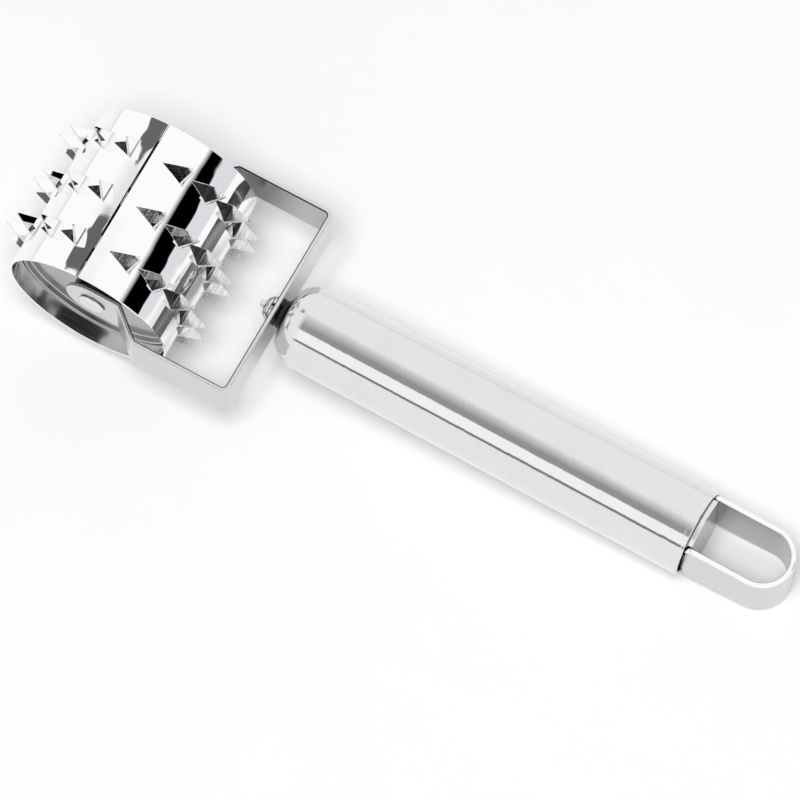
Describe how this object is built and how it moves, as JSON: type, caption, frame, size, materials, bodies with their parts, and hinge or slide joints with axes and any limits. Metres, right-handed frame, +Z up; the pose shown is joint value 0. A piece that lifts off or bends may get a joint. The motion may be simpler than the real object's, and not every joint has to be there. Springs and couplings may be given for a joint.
{
  "type": "roller meat tenderizer",
  "caption": "Hand tool with a steel roller covered in bent-up pointed teeth, turning in a strip yoke on a tube handle with a hanging loop, for tenderizing meat",
  "frame": {"origin": "centre of the footprint, on the worktop that the lowest teeth and the loop's tip lie on", "axes": "+X along the tool from the roller to the hanging loop, +Y along the roller's axis, +Z up from the worktop; the handle slopes down about 6 degrees towards the loop"},
  "size_m": [0.2114, 0.0542, 0.0564],
  "materials": {
    "mirror_steel": "mirror polished",
    "pressed_steel": "smooth rolled",
    "satin_steel": "fine satin",
    "strip_steel": "satin with polished edges",
    "turned_steel": "turned",
    "bearing_bronze": "plain",
    "black_spacer": "matte"
  },
  "bodies": {
    "tool_frame": {"yoke": "strip_steel", "axle": "turned_steel", "thrust_washer_left": "turned_steel", "thrust_washer_right": "turned_steel", "neck_screw": "turned_steel", "split_washer": "turned_steel", "neck_spacer": "black_spacer", "threaded_insert": "turned_steel", "handle_tube": "satin_steel", "end_cap": "satin_steel", "hanging_loop": "strip_steel"},
    "roller": {"roller_shell": "mirror_steel", "end_disc_left": "pressed_steel", "end_disc_right": "pressed_steel", "bush_left": "bearing_bronze", "bush_right": "bearing_bronze"}
  },
  "joints": [
    {"name": "roller_spin", "type": "hinge", "parent": "tool_frame", "child": "roller", "pos_m": [-0.0775, 0, 0.0285], "axis": [0, 1, 0], "continuous": true}
  ]
}
